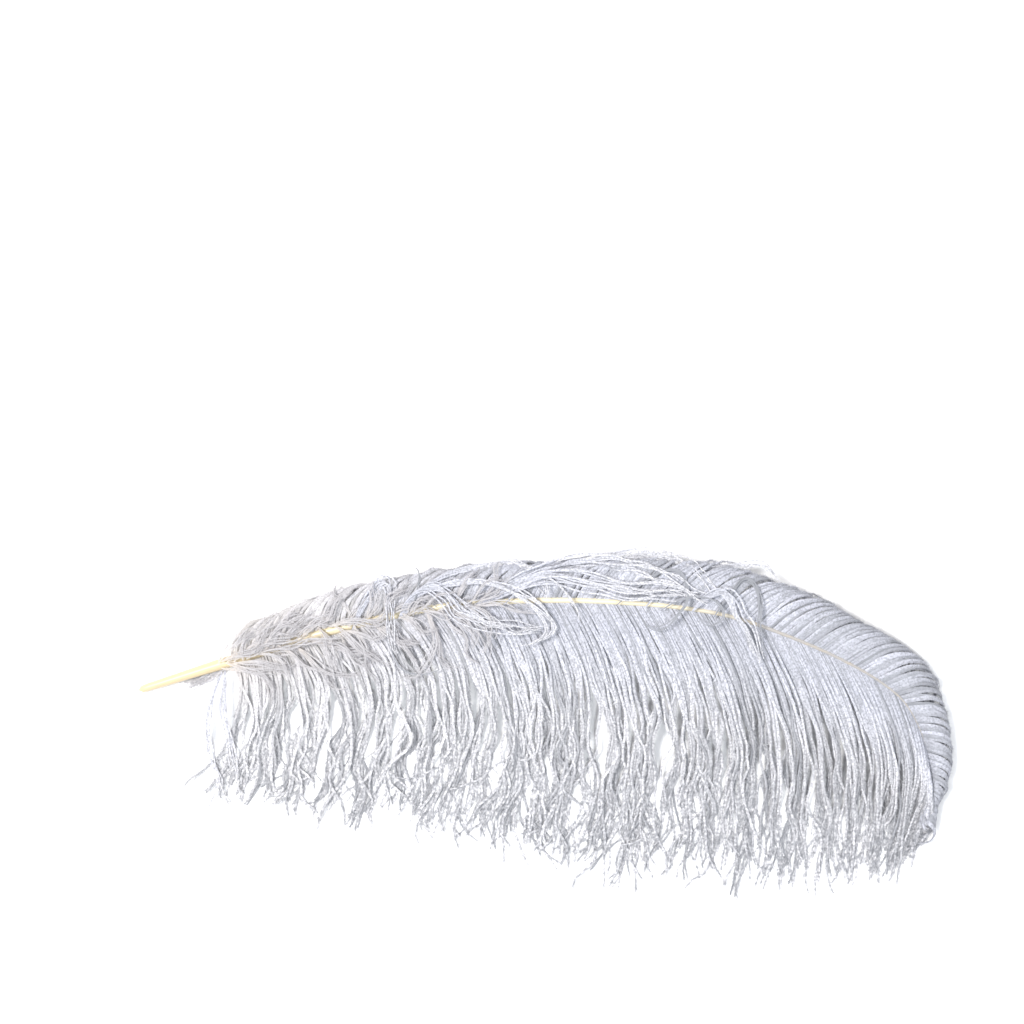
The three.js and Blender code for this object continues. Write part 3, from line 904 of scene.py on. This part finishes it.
def plume_colour():
    """Node group: the colour of barbs from their tone, place along the barb and warmth, with
    painted shadow: fine flecks all along and tangles towards the end.
    """
    group = bpy.data.node_groups.new("plume_colour", "ShaderNodeTree")
    for name in ("White", "Tip", "Shade", "Cream"):
        group.interface.new_socket(name, in_out="INPUT", socket_type="NodeSocketColor")
    group.interface.new_socket("Colour", in_out="OUTPUT", socket_type="NodeSocketColor")
    given = node(group, "NodeGroupInput")
    result = node(group, "NodeGroupOutput")
    tone = node(group, "ShaderNodeAttribute", attribute_name="tone").outputs["Fac"]
    warm = node(group, "ShaderNodeAttribute", attribute_name="warm").outputs["Fac"]
    along = node(group, "ShaderNodeAttribute", attribute_name="along").outputs["Fac"]
    place = node(group, "ShaderNodeTexCoord")
    speckle_noise = node(group, "ShaderNodeTexNoise")
    speckle_noise.inputs["Scale"].default_value = SPECKLE_SHADOW_SCALE
    speckle_noise.inputs["Detail"].default_value = 2
    group.links.new(place.outputs["Object"], speckle_noise.inputs["Vector"])
    # Painted shadow: fine flecks of shade between the barbules
    painted_shadow = ramp(group, speckle_noise.outputs["Fac"], *SPECKLE_SHADOW)
    tangle_noise = node(group, "ShaderNodeTexNoise")
    tangle_noise.inputs["Scale"].default_value = TANGLE_SHADOW_SCALE
    tangle_noise.inputs["Detail"].default_value = 1
    group.links.new(place.outputs["Object"], tangle_noise.inputs["Vector"])
    # Painted shadow: darker tangles of shade in the fibres towards a barb's end
    painted_tangle_shadow = ramp(group, tangle_noise.outputs["Fac"], *TANGLE_SHADOW)
    tangle_shadow_along = blend(group, ramp(group, along, *TANGLE_SHADOW_PART, 0, 1), (1, 1, 1, 1), painted_tangle_shadow)
    painted_shadow = product(group, painted_shadow, tangle_shadow_along)
    light = blend(group, ramp(group, along, *TIP_PART, 0, 1), given.outputs["White"],
                  given.outputs["Tip"])
    plain = blend(group, product(group, tone, painted_shadow), given.outputs["Shade"], light)
    cream = product(group, ramp(group, along, 0, CREAM_PART, 1, CREAM_LEFT), warm)
    colour = blend(group, cream, plain, given.outputs["Cream"])
    group.links.new(colour, result.inputs["Colour"])
    return group


def barb_material(name, group, white, tip, shade, through_share):
    """Matte fibre that lets some light through, coloured by the node group."""
    material = bpy.data.materials.new(name)
    material.use_nodes = True
    tree = material.node_tree
    shader = tree.nodes["Principled BSDF"]
    output = tree.nodes["Material Output"]
    plume = node(tree, "ShaderNodeGroup", node_tree=group)
    plume.inputs["White"].default_value = white
    plume.inputs["Tip"].default_value = tip
    plume.inputs["Shade"].default_value = shade
    plume.inputs["Cream"].default_value = BARB_CREAM
    tree.links.new(plume.outputs["Colour"], shader.inputs["Base Color"])
    shader.inputs["Roughness"].default_value = BARB_ROUGHNESS
    through = node(tree, "ShaderNodeBsdfTranslucent")
    tree.links.new(plume.outputs["Colour"], through.inputs["Color"])
    mix = node(tree, "ShaderNodeMixShader")
    mix.inputs[0].default_value = through_share
    tree.links.new(shader.outputs[0], mix.inputs[1])
    tree.links.new(through.outputs[0], mix.inputs[2])
    tree.links.new(mix.outputs[0], output.inputs["Surface"])
    return material


def horn_material():
    """Horn of the shaft: deep cream at the quill, then pale, with fine lengthwise lines."""
    material = bpy.data.materials.new("shaft_horn")
    material.use_nodes = True
    tree = material.node_tree
    shader = tree.nodes["Principled BSDF"]
    place = node(tree, "ShaderNodeTexCoord")
    stretch = node(tree, "ShaderNodeMapping")
    stretch.inputs["Scale"].default_value = LINE_STRETCH
    tree.links.new(place.outputs["Object"], stretch.inputs["Vector"])
    lines = node(tree, "ShaderNodeTexNoise")
    lines.inputs["Scale"].default_value = 1
    lines.inputs["Detail"].default_value = 3
    tree.links.new(stretch.outputs["Vector"], lines.inputs["Vector"])
    parts = node(tree, "ShaderNodeSeparateXYZ")
    tree.links.new(place.outputs["Object"], parts.inputs["Vector"])
    stout = ramp(tree, parts.outputs["X"], *QUILL_TO_CREAM, 0, 1)
    fade = ramp(tree, parts.outputs["X"], *CREAM_TO_PALE, 0, 1)
    horn = blend(tree, fade, blend(tree, stout, HORN_QUILL, HORN_CREAM), HORN_PALE)
    streak = ramp(tree, lines.outputs["Fac"], *LINES)
    colour = blend(tree, streak, horn, HORN_DEEP)
    tree.links.new(colour, shader.inputs["Base Color"])
    shader.inputs["Roughness"].default_value = HORN_ROUGHNESS
    return material


def finish(piece, material):
    """Gives a piece its material and its place in the part."""
    piece.data.materials.append(material)
    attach(piece, "root")
    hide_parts("feather")


# Floor, lights and camera, in metres
FLOOR_SIZE = 6
FLOOR_WHITE = (0.94, 0.94, 0.94, 1)
STUDIO_LIGHT = (0.95, 0.96, 1.0, 1)
STUDIO_STRENGTH = 0.62
LENS = 50
SENSOR = 36
FOCUS_HEIGHT = 0.018


def floor():
    bpy.ops.object.select_all(action="DESELECT")
    bpy.ops.mesh.primitive_plane_add(size=FLOOR_SIZE, location=(0, 0, 0))
    plane = bpy.context.object
    plane.name = "floor"
    material = bpy.data.materials.new("floor_white")
    material.use_nodes = True
    shader = material.node_tree.nodes["Principled BSDF"]
    shader.inputs["Base Color"].default_value = FLOOR_WHITE
    shader.inputs["Roughness"].default_value = 0.9
    plane.data.materials.append(material)


def lamp(name, place, size, power, colour):
    """A round lamp that shines at the middle of the feather."""
    data = bpy.data.lights.new(name, "AREA")
    data.shape = "DISK"
    data.size = size
    data.energy = power
    data.color = colour
    made = bpy.data.objects.new(name, data)
    made.location = place
    way = -np.array(place)
    flat = math.hypot(way[0], way[1])
    tip = math.atan2(flat, -way[2])
    made.rotation_euler = (tip, 0, math.atan2(way[1], way[0]) - math.pi / 2)
    bpy.context.scene.collection.objects.link(made)


def camera():
    """The camera looks straight down and frames the whole page."""
    data = bpy.data.cameras.new("camera")
    data.lens = LENS
    data.sensor_width = SENSOR
    data.clip_end = 20
    width = PICTURE * MM_PER_PIXEL * MM
    x = ((PICTURE / 2 - MIDDLE_PIXEL[0]) * MM_PER_PIXEL - PLAN_MIDDLE[0]) * MM
    y = ((MIDDLE_PIXEL[1] - PICTURE / 2) * MM_PER_PIXEL - PLAN_MIDDLE[1]) * MM
    eye = bpy.data.objects.new("camera", data)
    eye.location = (x, y, FOCUS_HEIGHT + width * LENS / SENSOR)
    bpy.context.scene.collection.objects.link(eye)
    bpy.context.scene.camera = eye


def world():
    scene = bpy.context.scene
    scene.world = bpy.data.worlds.new("studio")
    scene.world.use_nodes = True
    back = scene.world.node_tree.nodes["Background"]
    back.inputs["Color"].default_value = STUDIO_LIGHT
    back.inputs["Strength"].default_value = STUDIO_STRENGTH
    scene.view_settings.view_transform = "Standard"


camera()
world()
floor()
lamp("key", place=(-0.75, 0.4, 1.75), size=0.4, power=36, colour=(1.0, 0.98, 0.96))
lamp("fill", place=(0.1, -0.3, 2.1), size=0.25, power=18, colour=(0.9, 0.95, 1.0))

plume_group = plume_colour()
barbs = barb_material("barbs_white", plume_group, BARB_WHITE, BARB_TIP, BARB_SHADE,
                      BARB_THROUGH)
fluff = barb_material("down_white", plume_group, DOWN_WHITE, DOWN_WHITE, DOWN_SHADE,
                      DOWN_THROUGH)
finish(down(), fluff)
for piece in [strays()] + rolled_vane() + hanging_vane():
    finish(piece, barbs)
finish(shaft(), horn_material())
